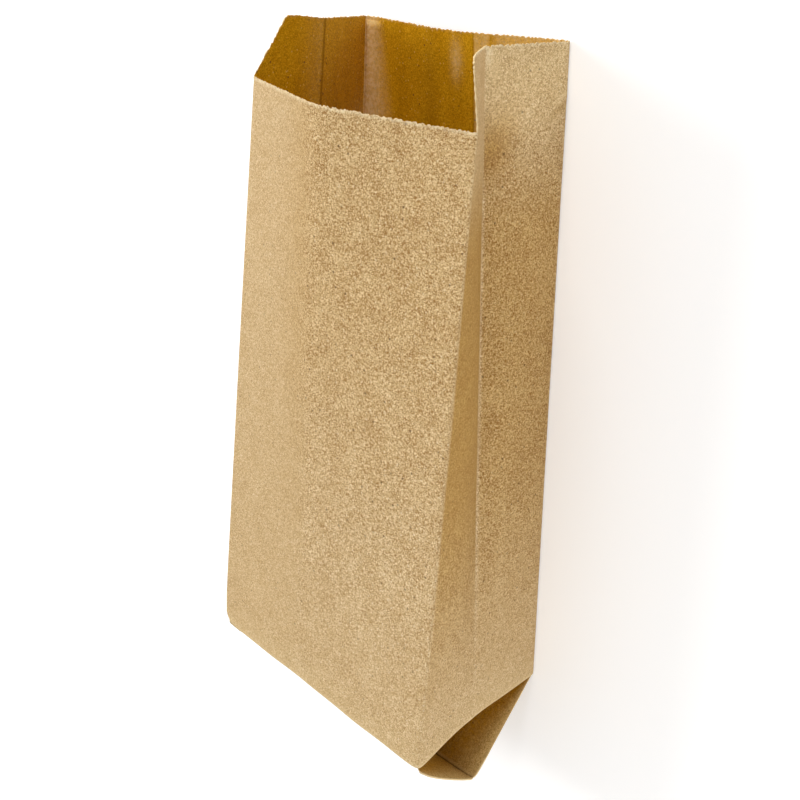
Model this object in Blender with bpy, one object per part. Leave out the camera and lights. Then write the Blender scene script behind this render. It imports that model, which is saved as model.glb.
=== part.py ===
"""Gusseted paper bag, opened and lying on its back panel. Metres, +Z up.

The bag is one folded sheet. X runs across the back panel, Y along the bag towards the mouth,
and Z up from the surface that the back panel lies on. Six creases run the length of the bag:
one at each side of the back and front panels and one down the middle of each side gusset.
The section at the lip fold and the section at the mouth are worked out from the widths of the
panels and the angles at which the gussets stand. Below the lip fold the front and back panels
run on as bottom strips to one glued seam, and the gussets are tucked in between them, which
leaves a three-sided pocket at each end of the seam.
"""
import math

import bmesh
import bpy
import numpy as np

# Folded sheet
PANEL_WIDTH = 0.120
GUSSET_WIDTH = 0.079
BODY_LENGTH = 0.2665
STRIP_DEPTH = 0.0518
SHEET_THICKNESS = 0.0003

# Mouth: the front panel is cut lower, the cut slants up across the left gusset, and the back
# panel's edge dips a little between its creases
LIP_CUT = 0.0225
LIP_TILT = 0.0018
SLANT_RUN = 0.0172
BACK_DIP = 0.0015

# Glued laps
SIDE_LAP_WIDTH = 0.010
CLOSING_FLAP_DEPTH = 0.014
LAP_THICKNESS = 0.0004
LAP_INSET = 0.0006
LAP_BITE = 0.0001

# How the bag stands open at the lip fold, angles from the floor in degrees
RIGHT_BASE_ANGLES = (86.5, 76.0)
LEFT_BASE_ANGLES = (86.5, 88.0)
LEFT_BASE_LIFT = 0.0056
BASE_SKEW = 0.005
KEEL_LEAN = 4.0
KEEL_BOW = 0.0016

# How it stands open at the mouth
RIGHT_MOUTH_ANGLES = (95.0, 44.5)
LEFT_MOUTH_ANGLES = (63.5, 76.2)
MOUTH_NARROWING = 0.002
MOUTH_SKEW_BACK = 0.0018
MOUTH_SKEW_FRONT = 0.003
CORNER_TURN = 5.0

# Soft bends of the panels
BULGE_PLACE = 0.50
BULGE_DRIFT = 0.14
BULGE_FADE = 1.6
BULGE_SOFTNESS = 0.09
LOWER_BEND_PLACE = 0.335
LOWER_BEND_RISE = 0.0022
BACK_BOW = 0.005
BACK_BOW_START = 0.55
CURL_REACH = 0.045
GUSSET_BELLY = 0.0030
RIDGE_RISE = 0.0022
RIDGE_HEIGHT = 0.226
RIDGE_CLIMB = 0.014
RIDGE_REACH = 0.034
LEFT_CORNER_ROUND = 0.0012
RIGHT_CORNER_ROUND = 0.0008
CORNER_ROUND_REACH = 0.022
CORNER_DRAW = (0.5, 0.75, -0.45)
KEEL_BOW_DIRECTION = (0.0, -0.8, 0.6)

# Fineness of the mesh
ROWS_BELOW_CUT = 17
ROWS_ABOVE_CUT = 4
KEEL_ROWS = 4
BACK_COLUMNS = 12
FRONT_COLUMNS = 18
GUSSET_COLUMNS = 5

HALF_GUSSET = GUSSET_WIDTH / 2
CUT_HEIGHT = BODY_LENGTH - LIP_CUT


def step(start, angle):
    """The point one half gusset away from start, at an angle from the floor."""
    turn = math.radians(angle)
    return start + HALF_GUSSET * np.array([math.cos(turn), math.sin(turn)])


def section(half_width, lift, left_angles, right_angles):
    """The six crease points (x, z) of one section, back and front, left and right."""
    back_left = np.array([-half_width, lift])
    back_right = np.array([half_width, 0.0])
    mid_left = step(back_left, left_angles[0])
    mid_right = step(back_right, right_angles[0])
    return {"back_left": back_left, "back_right": back_right,
            "mid_left": mid_left, "mid_right": mid_right,
            "front_left": step(mid_left, left_angles[1]),
            "front_right": step(mid_right, right_angles[1])}


BASE = section(PANEL_WIDTH / 2, LEFT_BASE_LIFT, LEFT_BASE_ANGLES, RIGHT_BASE_ANGLES)
MOUTH = section(PANEL_WIDTH / 2 - MOUTH_NARROWING, 0.0, LEFT_MOUTH_ANGLES, RIGHT_MOUTH_ANGLES)
BASE_Y = {"back_left": 0.0, "back_right": 0.0,
          "mid_left": BASE_SKEW / 2, "mid_right": -BASE_SKEW / 2,
          "front_left": BASE_SKEW, "front_right": -BASE_SKEW}
MOUTH_Y = {"back_left": MOUTH_SKEW_BACK, "back_right": -MOUTH_SKEW_BACK,
           "mid_left": (MOUTH_SKEW_BACK + MOUTH_SKEW_FRONT) / 2,
           "mid_right": -(MOUTH_SKEW_BACK + MOUTH_SKEW_FRONT) / 2,
           "front_left": MOUTH_SKEW_FRONT, "front_right": -MOUTH_SKEW_FRONT}


def crease(name, height):
    """Points on a crease, height metres above the lip fold; the free corner of the right
    gusset above the cut is turned a little about the gusset's own middle crease."""
    share = height / BODY_LENGTH
    x = BASE[name][0] + share * (MOUTH[name][0] - BASE[name][0])
    z = BASE[name][1] + share * (MOUTH[name][1] - BASE[name][1])
    y = BASE_Y[name] + share * (BODY_LENGTH + MOUTH_Y[name] - BASE_Y[name])
    if name == "front_right":
        free = np.clip((height - CUT_HEIGHT) / LIP_CUT, 0.0, 1.0)
        turn = math.radians(RIGHT_MOUTH_ANGLES[1] + 90.0)
        swing = free * HALF_GUSSET * math.radians(CORNER_TURN)
        x = x + swing * math.cos(turn)
        z = z + swing * math.sin(turn)
    return np.stack([x, y, z], axis=-1)


def bump(distance, reach):
    """A smooth hump: 1 at no distance, falling to 0 at the reach and staying 0 past it."""
    return np.clip(1 - (distance / reach) ** 2, 0.0, 1.0) ** 3


def soft_tent(place, ridge, softness):
    """A tent over 0..1 with its ridge at the given place and a rounded top, 0 at both ends."""
    rise = place / ridge
    fall = (1 - place) / (1 - ridge)
    rounded = (rise + fall - np.sqrt((rise - fall) ** 2 + 4 * softness ** 2)) / 2
    at_left = (1 / (1 - ridge) - np.sqrt((1 / (1 - ridge)) ** 2 + 4 * softness ** 2)) / 2
    at_right = (1 / ridge - np.sqrt((1 / ridge) ** 2 + 4 * softness ** 2)) / 2
    return rounded - at_left * (1 - place) - at_right * place


def mouth_bulge():
    """How far the front panel's middle stands out at the mouth: the height of the triangle
    whose two sides are half the panel's width and whose base joins its two creases."""
    gap = math.hypot(*(MOUTH["front_right"] - MOUTH["front_left"]))
    return math.sqrt(max((PANEL_WIDTH / 2) ** 2 - (gap / 2) ** 2, 0.0))


def front_offset(place, share):
    """Outward offset of the front panel, place 0 at its right crease: the bend from the mouth,
    drifting left and fading downwards, and a low soft ridge in the lower half."""
    ridge = BULGE_PLACE + BULGE_DRIFT * (1 - share)
    upper = mouth_bulge() * share ** BULGE_FADE * soft_tent(place, ridge, BULGE_SOFTNESS)
    lower = soft_tent(place, np.full_like(place, LOWER_BEND_PLACE), BULGE_SOFTNESS)
    return upper + LOWER_BEND_RISE * lower * np.sin(math.pi * np.clip(1 - share, 0, 1)) ** 2


def back_offset(place, share):
    """The back panel sags flat to the floor beside its raised left crease, and bows up off
    the floor towards the mouth."""
    raised = LEFT_BASE_LIFT * (1 - share)
    settle = raised * ((1 - place) - bump(place * PANEL_WIDTH, CURL_REACH))
    near_mouth = np.clip((share - BACK_BOW_START) / (1 - BACK_BOW_START), 0.0, 1.0)
    return settle - BACK_BOW * np.sin(math.pi * place) ** 2 * near_mouth ** 2


def gusset_offset(place, share):
    """Each half of a gusset bellies out a little between its two creases."""
    return GUSSET_BELLY * np.sin(math.pi * place) * np.sin(math.pi * share) ** 2


def ridged_offset(place, share):
    """The right gusset's back half, pushed out along a soft ridge a little below the mouth,
    which climbs from its middle crease to its back crease."""
    ridge = RIDGE_HEIGHT + RIDGE_CLIMB * (1 - place)
    swell = bump(share * BODY_LENGTH - ridge, RIDGE_REACH) * np.sin(math.pi * place)
    return gusset_offset(place, share) + RIDGE_RISE * swell


# Each panel: its two creases in order round the tube, its columns and its offset
PANELS = (("back_left", "back_right", BACK_COLUMNS, back_offset),
          ("back_right", "mid_right", GUSSET_COLUMNS, ridged_offset),
          ("mid_right", "front_right", GUSSET_COLUMNS, gusset_offset),
          ("front_right", "front_left", FRONT_COLUMNS, front_offset),
          ("front_left", "mid_left", GUSSET_COLUMNS, gusset_offset),
          ("mid_left", "back_left", GUSSET_COLUMNS, gusset_offset))


def rounded_corners(points):
    """The lip fold's front corners are rounded, so points near them draw back: inwards across
    the bag, up along it and towards the back panel."""
    for name, amount in (("front_left", LEFT_CORNER_ROUND), ("front_right", RIGHT_CORNER_ROUND)):
        corner = crease(name, np.array(0.0))
        near = bump(np.linalg.norm(points - corner, axis=-1), CORNER_ROUND_REACH)
        inward = np.array([-math.copysign(CORNER_DRAW[0], corner[0]), *CORNER_DRAW[1:]])
        points = points + (amount * near)[..., None] * inward
    return points


def panel_points(panel, place, height):
    """Points of one panel. It is ruled between its two creases and moved outwards by its
    offset, along the normal of the flat panel at that height."""
    first, second, _, offset = panel
    start, end = crease(first, height), crease(second, height)
    across = end - start
    outward = np.stack([across[..., 2], np.zeros_like(height), -across[..., 0]], axis=-1)
    outward /= np.linalg.norm(outward, axis=-1, keepdims=True)
    points = start + place[..., None] * across
    points += offset(place, height / BODY_LENGTH)[..., None] * outward
    return rounded_corners(points)


def lip_height(panel, place):
    """The height of the front panel's cut, carried on round the tube: a little higher at the
    left than at the right."""
    start, end = (float(name.endswith("left")) for name in panel[:2])
    return CUT_HEIGHT + LIP_TILT * (start + place * (end - start))


def mouth_height(panel, place):
    """How high a panel reaches: the full body, less the lip cut on the front panel, the
    slanting cut on the left gusset's front half and the dip of the back panel's edge."""
    lip_line = lip_height(panel, place)
    if panel[:2] == ("front_right", "front_left"):
        return lip_line
    if panel[:2] == ("front_left", "mid_left"):
        climb = np.clip(place * HALF_GUSSET / SLANT_RUN, 0.0, 1.0)
        return lip_line + climb * (BODY_LENGTH - lip_line)
    if panel[:2] == ("back_left", "back_right"):
        return BODY_LENGTH - BACK_DIP * np.sin(math.pi * place) ** 2
    return np.full_like(place, BODY_LENGTH)


def hang(back, front, lean):
    """The end of the glued seam: a bottom strip's depth from both ends of the lip."""
    middle = (back + front) / 2
    drop = math.sqrt(STRIP_DEPTH ** 2 - (np.linalg.norm(front - back) / 2) ** 2)
    along = (front - back) / np.linalg.norm(front - back)
    down = np.array([-math.sin(math.radians(lean)), -math.cos(math.radians(lean)), 0.0])
    down = down - along * (down @ along)
    return middle + drop * down / np.linalg.norm(down)


class Sheet:
    """Collects the faces of the folded sheet's middle surface."""

    def __init__(self):
        self.mesh = bmesh.new()

    def grid(self, points):
        """Faces between the rows and columns of an array of points."""
        rows, columns = points.shape[:2]
        verts = [[self.mesh.verts.new(points[r, c]) for c in range(columns)] for r in range(rows)]
        for r in range(rows - 1):
            for c in range(columns - 1):
                self.face(verts[r][c], verts[r][c + 1], verts[r + 1][c + 1], verts[r + 1][c])

    def face(self, *corners):
        """One face, without the corners that coincide."""
        kept = [v for i, v in enumerate(corners) if (v.co - corners[i - 1].co).length > 1e-7]
        if len(kept) > 2:
            self.mesh.faces.new(kept)

    def object(self, name, material):
        """A Blender object of the merged surface."""
        bmesh.ops.remove_doubles(self.mesh, verts=self.mesh.verts, dist=1e-6)
        bmesh.ops.triangulate(self.mesh, faces=[f for f in self.mesh.faces if len(f.verts) > 4])
        bmesh.ops.recalc_face_normals(self.mesh, faces=self.mesh.faces)
        data = bpy.data.meshes.new(name)
        self.mesh.to_mesh(data)
        self.mesh.free()
        data.materials.append(material)
        item = bpy.data.objects.new(name, data)
        bpy.context.scene.collection.objects.link(item)
        return item


def add_tube(sheet):
    """The body from the lip fold to the mouth, panel by panel."""
    below = np.linspace(0.0, 1.0, ROWS_BELOW_CUT + 1)[:, None]
    above = np.linspace(0.0, 1.0, ROWS_ABOVE_CUT + 1)[:, None]
    for panel in PANELS:
        place = np.linspace(0.0, 1.0, panel[2] + 1)
        lip_line, top = lip_height(panel, place), mouth_height(panel, place)
        spans = [below * lip_line]
        if (top > lip_line).any():
            spans.append(lip_line + above * (top - lip_line))
        for height in spans:
            sheet.grid(panel_points(panel, np.broadcast_to(place, height.shape), height))


def lip(panel):
    """The row of points of one panel on the lip fold."""
    place = np.linspace(0.0, 1.0, panel[2] + 1)
    return panel_points(panel, place, np.zeros_like(place))


def keel_corners():
    """Both ends of the glued seam, and the two pocket tips that lie on it."""
    corner = {name: rounded_corners(crease(name, np.array(0.0))) for name in BASE}
    right = hang(corner["back_right"], corner["front_right"], KEEL_LEAN)
    left = hang(corner["back_left"], corner["front_left"], 0.0)
    along = (left - right) / np.linalg.norm(left - right)
    return right, left, right + HALF_GUSSET * along, left - HALF_GUSSET * along


def strip_seam(panel, right_tip, left_tip):
    """Where each point of the lip comes down to on the seam line: the whole line between the
    pocket tips for the front and back strips, and one tip for a tucked gusset."""
    first, second, columns, _ = panel
    tips = [right_tip if "right" in name else left_tip for name in (first, second)]
    place = np.linspace(0.0, 1.0, columns + 1)[:, None]
    return tips[0] + place * (tips[1] - tips[0])


def add_keel(sheet):
    """Below the lip fold: the two bottom strips, the tucked gussets and the pocket walls, with
    the front fold edges of the strips bowed outwards."""
    right, left, right_tip, left_tip = keel_corners()
    drop = np.linspace(0.0, 1.0, KEEL_ROWS + 1)[:, None, None]
    for panel in PANELS:
        rim = lip(panel)
        sheet.grid(rim + drop * (strip_seam(panel, right_tip, left_tip) - rim))
    for name in ("back_left", "back_right", "front_left", "front_right"):
        corner = rounded_corners(crease(name, np.array(0.0)))
        edge = np.stack([right_tip, right] if "right" in name else [left_tip, left])
        wall = corner + drop * (edge - corner)
        if "front" in name:
            wall[:, 1] += KEEL_BOW * np.sin(math.pi * drop[:, 0]) * KEEL_BOW_DIRECTION
        sheet.grid(wall)


def normals(points):
    """Unit normals of a grid of points."""
    down = np.gradient(points, axis=0)
    across = np.gradient(points, axis=1)
    out = np.cross(across, down)
    return out / np.linalg.norm(out, axis=-1, keepdims=True)


def side_lap():
    """The glued lap of the tube's one long seam: a second layer on the inside of the back
    panel, along its left crease."""
    height = np.linspace(LAP_INSET, BODY_LENGTH - LAP_INSET, ROWS_BELOW_CUT + ROWS_ABOVE_CUT)
    place = np.linspace(LAP_INSET, LAP_INSET + SIDE_LAP_WIDTH, 4) / PANEL_WIDTH
    across, height = np.meshgrid(place, height)
    points = panel_points(PANELS[0], across, height)
    return points, np.array([0.0, 0.0, 1.0])


def closing_flap():
    """The bottom edge folded over the seam line and glued to the outside of the back strip."""
    right, left, right_tip, left_tip = keel_corners()
    rim = lip(PANELS[0])
    seam = strip_seam(PANELS[0], right_tip, left_tip)
    rim = np.concatenate([rim[:1], rim, rim[-1:]])
    seam = np.concatenate([left[None], seam, right[None]])
    drop = np.linspace(1 - CLOSING_FLAP_DEPTH / STRIP_DEPTH, 1 - LAP_INSET / STRIP_DEPTH, 3)
    points = rim + drop[:, None, None] * (seam - rim)
    inset = (LAP_INSET / PANEL_WIDTH) * (points[:, -1] - points[:, 0])
    points[:, 0] += inset
    points[:, -1] -= inset
    return points, np.array([0.0, -1.0, -1.0])


def kraft():
    """Unbleached kraft paper."""
    material = bpy.data.materials.new("kraft_paper")
    material.use_nodes = True
    shader = material.node_tree.nodes["Principled BSDF"]
    shader.inputs["Base Color"].default_value = (0.58, 0.40, 0.20, 1.0)
    shader.inputs["Roughness"].default_value = 0.85
    shader.inputs["Metallic"].default_value = 0.0
    return material


def lap(name, points, side, material):
    """A glued layer that follows the sheet, on the given side of it, sunk a hair into it."""
    out = normals(points)
    out *= np.sign(out @ side)[..., None]
    sheet = Sheet()
    sheet.grid(points + (SHEET_THICKNESS / 2 + LAP_THICKNESS / 2 - LAP_BITE) * out)
    item = sheet.object(name, material)
    thicken(item, LAP_THICKNESS)
    item.hide_render = True
    item.display_type = "WIRE"
    return item


def thicken(item, thickness):
    """Gives a surface its thickness, half to each side; it may have three faces to an edge."""
    solidify = item.modifiers.new("thickness", "SOLIDIFY")
    solidify.solidify_mode = "NON_MANIFOLD"
    solidify.nonmanifold_thickness_mode = "EVEN"
    solidify.thickness = thickness
    solidify.offset = 0.0


def seat(item):
    """Sets the origin under the middle of the bag, on the surface it lies on."""
    bpy.context.view_layer.update()
    shape = item.evaluated_get(bpy.context.evaluated_depsgraph_get()).to_mesh()
    points = np.empty(len(shape.vertices) * 3)
    shape.vertices.foreach_get("co", points)
    low, high = points.reshape(-1, 3).min(axis=0), points.reshape(-1, 3).max(axis=0)
    item.location = (-(low[0] + high[0]) / 2, -(low[1] + high[1]) / 2, -low[2])


def build():
    """The whole bag as one object."""
    for item in list(bpy.data.objects):
        bpy.data.objects.remove(item)
    paper = kraft()
    sheet = Sheet()
    add_tube(sheet)
    add_keel(sheet)
    bag = sheet.object("paper_bag", paper)
    thicken(bag, SHEET_THICKNESS)
    for name, (points, side) in (("side_lap", side_lap()), ("closing_flap", closing_flap())):
        layer = lap(name, points, side, paper)
        layer.parent = bag
        glue = bag.modifiers.new(name, "BOOLEAN")
        glue.operation = "UNION"
        glue.solver = "EXACT"
        glue.object = layer
    seat(bag)


build()
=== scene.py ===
"""An opened, gusseted kraft paper bag that lies on its back panel.

The bag is one folded sheet. X runs across it, Y along it to the mouth, Z up to the front panel.
Six creases run its length. A point of the tube is given by its place round the tube and its
height above the lip fold, and every surface below is a grid of such points, in metres.
"""
import math
from collections import namedtuple

import bpy
import numpy as np
from mathutils import Matrix, Vector


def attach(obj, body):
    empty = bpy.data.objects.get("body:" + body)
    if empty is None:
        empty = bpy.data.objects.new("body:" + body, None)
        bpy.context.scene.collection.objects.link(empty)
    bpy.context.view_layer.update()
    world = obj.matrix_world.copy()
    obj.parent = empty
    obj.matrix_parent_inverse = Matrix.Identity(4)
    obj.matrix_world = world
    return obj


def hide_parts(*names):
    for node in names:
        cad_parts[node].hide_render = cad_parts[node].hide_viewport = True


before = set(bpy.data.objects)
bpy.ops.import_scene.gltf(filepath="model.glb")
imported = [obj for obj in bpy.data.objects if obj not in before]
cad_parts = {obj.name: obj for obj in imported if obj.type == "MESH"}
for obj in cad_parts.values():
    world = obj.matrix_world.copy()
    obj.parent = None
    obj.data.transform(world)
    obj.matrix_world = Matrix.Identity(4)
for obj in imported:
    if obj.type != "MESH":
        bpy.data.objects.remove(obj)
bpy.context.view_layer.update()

MM = 0.001

# Folded sheet, the same sizes as the solid
PANEL_WIDTH = 120.0 * MM
HALF_GUSSET = 39.5 * MM
BODY_LENGTH = 266.5 * MM
STRIP_DEPTH = 51.8 * MM
PAPER = 0.22 * MM
PLACE_IN_FRAME = (-10.874 * MM, -116.508 * MM, 0.22 * MM)

# Mouth
LIP_CUT = 22.5 * MM
LIP_TILT = 1.8 * MM
SLANT_RUN = 17.2 * MM
BACK_DIP = 0.9 * MM
LEFT_TIP_RISE = 1.6 * MM
NIPPED_CORNER = 2.2 * MM
NIP_REACH = 5.0 * MM
TOOTH_PITCH = 2.4 * MM
TOOTH_DEPTH = 0.85 * MM
TOOTH_WANDER = 0.35
TOOTH_LEAST = 0.3
TOOTH_SHARE = 0.8
TOOTH_FUZZ = 0.28
TOOTHED_FROM = 2.0 * MM
CUT_START = 0.01
TEAR_START = 0.1
TEAR_REACH = 3.0 * MM

# How the bag stands open, angles from the floor in degrees
RIGHT_BASE_ANGLES = (86.5, 76.0)
LEFT_BASE_ANGLES = (86.5, 88.0)
LEFT_BASE_LIFT = 5.6 * MM
BASE_SKEW = 5.0 * MM
KEEL_LEAN = 4.0
KEEL_BOW = 1.6 * MM
KEEL_BOW_POWER = 0.65
KEEL_BOW_DIRECTION = np.array([0.0, -0.8, 0.6])
RIGHT_MOUTH_ANGLES = (95.0, 44.5)
LEFT_MOUTH_ANGLES = (63.5, 76.2)
MOUTH_NARROWING = 2.0 * MM
MOUTH_SKEW_BACK = 1.8 * MM
MOUTH_SKEW_FRONT = 3.0 * MM
CORNER_TURN = 5.0

# Soft bends, a ridge, a nick and rounded corners
BULGE_PLACE = 0.50
BULGE_DRIFT = 0.14
BULGE_FADE = 1.6
BULGE_SOFTNESS = 0.09
LOWER_BEND_PLACE = 0.335
LOWER_BEND_RISE = 2.2 * MM
BACK_BOW = 5.0 * MM
BACK_BOW_START = 0.55
CURL_REACH = 45.0 * MM
GUSSET_BELLY = 3.0 * MM
RIDGE_RISE = 2.2 * MM
RIDGE_HEIGHT = 226.0 * MM
RIDGE_CLIMB = 14.0 * MM
RIDGE_REACH = 34.0 * MM
NICK_HEIGHT = 248.0 * MM
NICK_FALL = 22.0 * MM
NICK_SPAN = 0.34
NICK_RISE = 0.7 * MM
NICK_SLOPE = 9.0 * MM
NICK_STEP = 2.2 * MM
NICK_START = 0.05
NICK_FADE = 0.4
SOFT_FOLD_RADIUS = 12.0 * MM
SOFT_FOLD_TOP = 110.0 * MM
LEFT_CORNER_RADIUS = 3.4 * MM
RIGHT_CORNER_RADIUS = 1.9 * MM
CORNER_DRAW = np.array([0.48, 0.35, -0.41])
TIP_RADIUS = 1.8 * MM
TIP_DRAW = 0.75

# Slight waves of the paper, and how closely it rests on the floor
RIPPLE_SHARE = 0.0018
RIPPLE_SPANS = (18.0 * MM, 75.0 * MM)
RESTING = -0.06 * MM
SOFT_REST = 0.16 * MM

# Glued laps
SIDE_LAP_WIDTH = 10.0 * MM
CLOSING_FLAP_DEPTH = 14.0 * MM
LAP_THICKNESS = 0.12 * MM
LAP_INSET = 0.8 * MM
FLAP_INSET = 1.6 * MM
FLAP_EDGE_TONE = 0.6
FLAP_FOLD_RUB = 0.4

# Calm paper, where the grain shows little: places, heights and shares
CALM_PLACES = (0.53, 0.63)
CALM_RISE = (60.0 * MM, 130.0 * MM)
CALM_FALL = (10.0 * MM, 95.0 * MM)
CALM_LOW = 0.7
KEEL_CALM = 0.9
WALL_CALM = 0.8

# Rubbed paper with painted highlights of folds, and painted light on the right gusset: shares,
# widths and places
FOLD_WIDTH = 0.9 * MM
LIP_RUBS_AND_HIGHLIGHTS = ((0.75, 1.17 * MM), (0.35, 6.0 * MM))
LEFT_EDGE_RUB = 0.3
LEFT_GUSSET_RUB = 0.4
OTHER_RUB = 0.05
# Painted light on the right gusset's back half: below the mouth, in its corner and above the nick
MOUTH_PAINTED_LIGHT = 0.5
MOUTH_LIGHT_SLANT = 12.0 * MM
MOUTH_LIGHT_RISE = (226.0 * MM, 262.0 * MM)
CORNER_PAINTED_LIGHT = 0.95
NICK_HIGHLIGHT = 0.9
NICK_HIGHLIGHT_RISE = 1.5 * MM
NICK_HIGHLIGHT_WIDTH = 1.8 * MM

# Painted shade: deeper tones where the paper lies in shade, less near the lip fold and the mouth:
# shares, heights and places
TINT_EDGE = 2.0 * MM
TINT_FADE = 70.0 * MM
RIGHT_BACK_TINT = 0.72
LEFT_TINT = 0.4
MOUTH_CLEARING = 0.75
MOUTH_CLEARING_RISE = (200.0 * MM, 240.0 * MM)
FRONT_TINT = 0.35
FRONT_TINT_PLACES = (0.55, 0.8)
FRONT_TINT_RISE = (20.0 * MM, 200.0 * MM)
SHADOW_SLANT = 0.4
NICK_SHADE = 0.5
NICK_SHADE_DROP = 2.0 * MM
NICK_SHADE_WIDTH = 1.6 * MM

# Spots of the right gusset's back half: gap from its middle crease and height, then their reach
# The first spot is painted light and the second painted shadow; the fleck is torn fibres
LIT_CORNER_SPOT = ((4.0 * MM, 259.0 * MM), (11.0 * MM, 14.0 * MM))
SHADOWED_SPOT = ((3.0 * MM, 231.0 * MM), (18.0 * MM, 21.0 * MM))
TORN_FLECK = ((1.5 * MM, 263.5 * MM), (3.5 * MM, 6.0 * MM))
FLECK_TONE = 0.8
TORN_WIDTH = 0.6 * MM

# Marks on the inside, with painted light and shade at a crease: places and widths, and tones
PALE_BAND = (0.610, 0.669)
PALE_BAND_TONE = 0.4
BAND_RISE = 0.003
BAND_FALL = 0.01
BAND_LINE_WIDTH = 0.4 * MM
BAND_LINE_TONE = 0.7
BAND_EDGE_TONE = 0.6
BEYOND_BAND_TONE = 0.35
BEYOND_BAND_RISE = 0.05
LAP_START = 1.0 * MM
LAP_BLUR = 4.0 * MM
LAP_SPREAD = 0.25
PALE_STREAK = 0.528
PALE_STREAK_WIDTH = 3.0 * MM
PALE_STREAK_DROP = 12.0 * MM
PALE_STREAK_REACH = 14.0 * MM
PALE_STREAK_TONE = 0.45
DARK_STREAK = 0.393
DARK_STREAK_WIDTH = 4.0 * MM
DARK_STREAK_TONE = 0.3
# Painted light on the strip beside the left middle crease
BESIDE_CREASE_LIGHT = 0.15
BESIDE_WIDTH = 9.0 * MM
BESIDE_FALL = (20.0 * MM, 60.0 * MM)
BELOW_TONE = 0.6
BELOW_RISE = (25.0 * MM, 60.0 * MM)
LEFT_BACK_TONE = 0.06
# Painted shade along the inside of the left middle crease
INNER_FOLD_GAP = 0.5 * MM
INNER_FOLD_SHADE_WIDTH = 0.6 * MM

# Pocket walls: rubbed edge with painted highlight, painted shade and light at the seam, painted
# shade in depth
WALL_FOLD_WIDTH = 0.63 * MM
SEAM_LINE_WIDTH = 0.5 * MM
SEAM_PAINTED_LIGHT = 0.5
SEAM_PAINTED_LIGHT_GAP = 1.2 * MM
WALL_SHADE_DEPTH = (0.5, 1.05)

# Rows and columns of the grids, and how often creases and the lip fold are smoothed
CREASE_PASSES = 2
LIP_PASSES = 2
LIP_REACH = 3
WALL_COLUMNS = 33
LAP_COLUMNS, LAP_ROWS = 12, 90
FLAP_ROWS = 14
CUT_ROWS = (0.98, 1.0)
MOUTH_ROWS = (0.88, 1.0)
WELD_GAP = 0.001 * MM

# Material slots of the sheet's own faces and of the pocket walls, and how many slots further
# the cut rims of the sheet and of its laps lie
SHEET_SLOT = 0
WALL_SLOT = 2
SHEET_RIM = 4
LAP_RIM = 2

CUT_HEIGHT = BODY_LENGTH - LIP_CUT
RANDOM = np.random.default_rng(7)


def step(start, angle):
    """The point half a gusset from start, at an angle from the floor."""
    turn = math.radians(angle)
    return start + HALF_GUSSET * np.array([math.cos(turn), math.sin(turn)])


def section(half_width, lift, left_angles, right_angles):
    """The six crease points (x, z) of a section: two steps up from each back crease."""
    back_left, back_right = np.array([-half_width, lift]), np.array([half_width, 0.0])
    mid_left, mid_right = step(back_left, left_angles[0]), step(back_right, right_angles[0])
    return {"back_left": back_left, "back_right": back_right,
            "mid_left": mid_left, "mid_right": mid_right,
            "front_left": step(mid_left, left_angles[1]),
            "front_right": step(mid_right, right_angles[1])}


BASE = section(PANEL_WIDTH / 2, LEFT_BASE_LIFT, LEFT_BASE_ANGLES, RIGHT_BASE_ANGLES)
MOUTH = section(PANEL_WIDTH / 2 - MOUTH_NARROWING, 0.0, LEFT_MOUTH_ANGLES, RIGHT_MOUTH_ANGLES)
BASE_Y = {"back": 0.0, "mid": BASE_SKEW / 2, "front": BASE_SKEW}
MOUTH_Y = {"back": MOUTH_SKEW_BACK, "mid": (MOUTH_SKEW_BACK + MOUTH_SKEW_FRONT) / 2,
           "front": MOUTH_SKEW_FRONT}


def crease(name, height):
    """Points of a crease at heights: a straight line from its point of the base section to
    that of the mouth section. The free corner above the cut turns about the middle crease."""
    row, side = name.split("_")
    sign = 1.0 if side == "left" else -1.0
    share = height / BODY_LENGTH
    x = BASE[name][0] + share * (MOUTH[name][0] - BASE[name][0])
    z = BASE[name][1] + share * (MOUTH[name][1] - BASE[name][1])
    low = sign * BASE_Y[row]
    y = low + share * (BODY_LENGTH + sign * MOUTH_Y[row] - low)
    if name == "front_right":
        free = np.clip((height - CUT_HEIGHT) / LIP_CUT, 0.0, 1.0)
        turn = math.radians(RIGHT_MOUTH_ANGLES[1] + 90.0)
        swing = free * HALF_GUSSET * math.radians(CORNER_TURN)
        x, z = x + swing * math.cos(turn), z + swing * math.sin(turn)
    return np.stack([x, y, z], axis=-1)


def bump(distance, reach):
    """A smooth hump: one at no distance, nothing at the reach and past it."""
    return np.clip(1 - (distance / reach) ** 2, 0.0, 1.0) ** 3


def ramp(value, low, high):
    """Rises smoothly from nothing at low to one at high."""
    t = np.clip((value - low) / (high - low), 0.0, 1.0)
    return t * t * (3 - 2 * t)


def soft_tent(place, ridge, softness):
    """A tent over 0..1 with a rounded ridge at the given place: the soft minimum of its two
    slopes, less the line that joins its ends."""
    def roof(at):
        rise, fall = at / ridge, (1 - at) / (1 - ridge)
        return (rise + fall - np.sqrt((rise - fall) ** 2 + 4 * softness ** 2)) / 2
    first, last = roof(np.zeros_like(place)), roof(np.ones_like(place))
    return roof(place) - first * (1 - place) - last * place


def mouth_bulge():
    """How far the front panel's middle stands out at the mouth: the height of the triangle of
    two half panels over the gap between the two front creases."""
    gap = math.hypot(*(MOUTH["front_right"] - MOUTH["front_left"]))
    return math.sqrt(max((PANEL_WIDTH / 2) ** 2 - (gap / 2) ** 2, 0.0))


def front_offset(place, height):
    """The bend from the mouth, a tent that drifts left and fades downwards, and a low soft
    ridge in the lower half."""
    share = height / BODY_LENGTH
    ridge = BULGE_PLACE + BULGE_DRIFT * (1 - share)
    upper = mouth_bulge() * share ** BULGE_FADE * soft_tent(place, ridge, BULGE_SOFTNESS)
    lower = soft_tent(place, np.full_like(place, LOWER_BEND_PLACE), BULGE_SOFTNESS)
    return upper + LOWER_BEND_RISE * lower * np.sin(math.pi * np.clip(1 - share, 0, 1)) ** 2


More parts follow.
